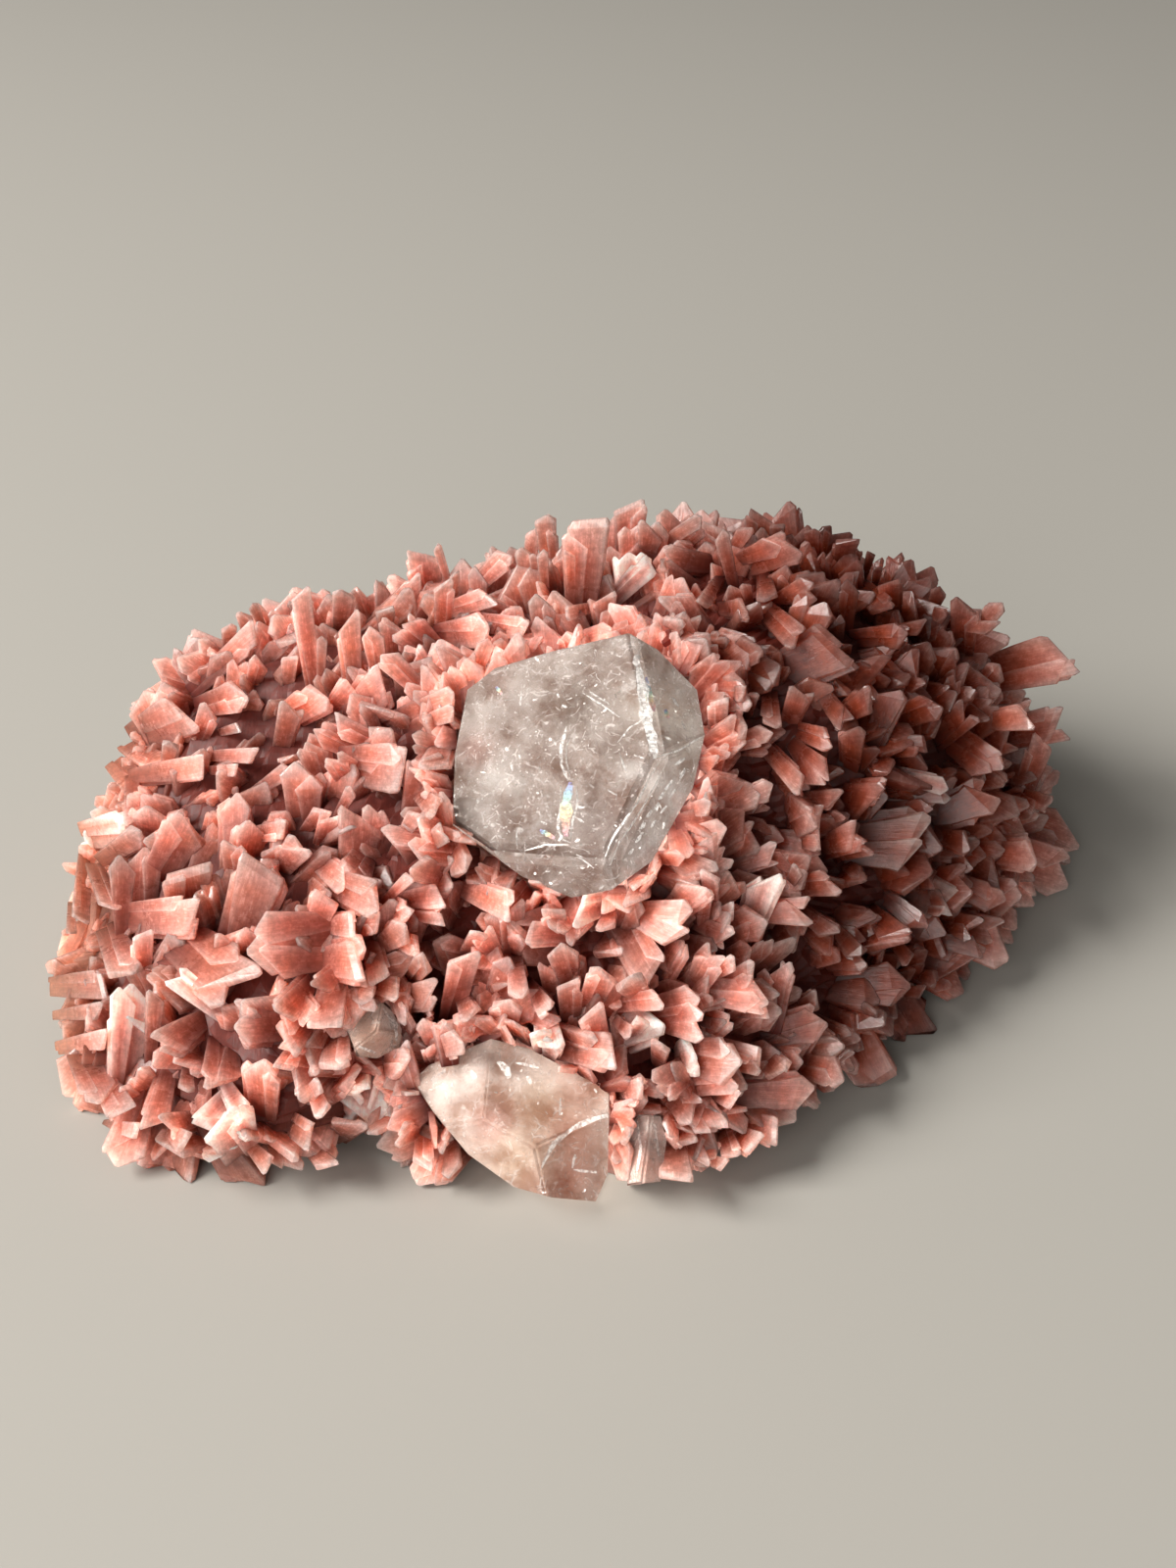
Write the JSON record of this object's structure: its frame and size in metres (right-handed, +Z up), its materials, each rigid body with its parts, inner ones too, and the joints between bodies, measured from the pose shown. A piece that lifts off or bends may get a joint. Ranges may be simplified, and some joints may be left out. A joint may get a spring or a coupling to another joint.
{
  "type": "apophyllite cluster",
  "caption": "Natural mineral cluster: a domed mass of salmon-pink stilbite blades with clear blocky apophyllite crystals seated in it, lying on its flat broken base.",
  "frame": {"origin": "middle of the flat broken base that the cluster lies on", "axes": "+X to the right along the cluster's length, +Y towards its steep far side, +Z up out of the base"},
  "size_m": [0.1186, 0.0859, 0.0456],
  "materials": {
    "stilbite": "vitreous to pearly",
    "apophyllite": "clear, vitreous"
  },
  "bodies": {
    "root": {"stilbite_matrix": "stilbite", "apophyllite_large": "apophyllite", "apophyllite_front": "apophyllite", "apophyllite_side": "apophyllite", "apophyllite_small": "apophyllite"}
  },
  "joints": []
}
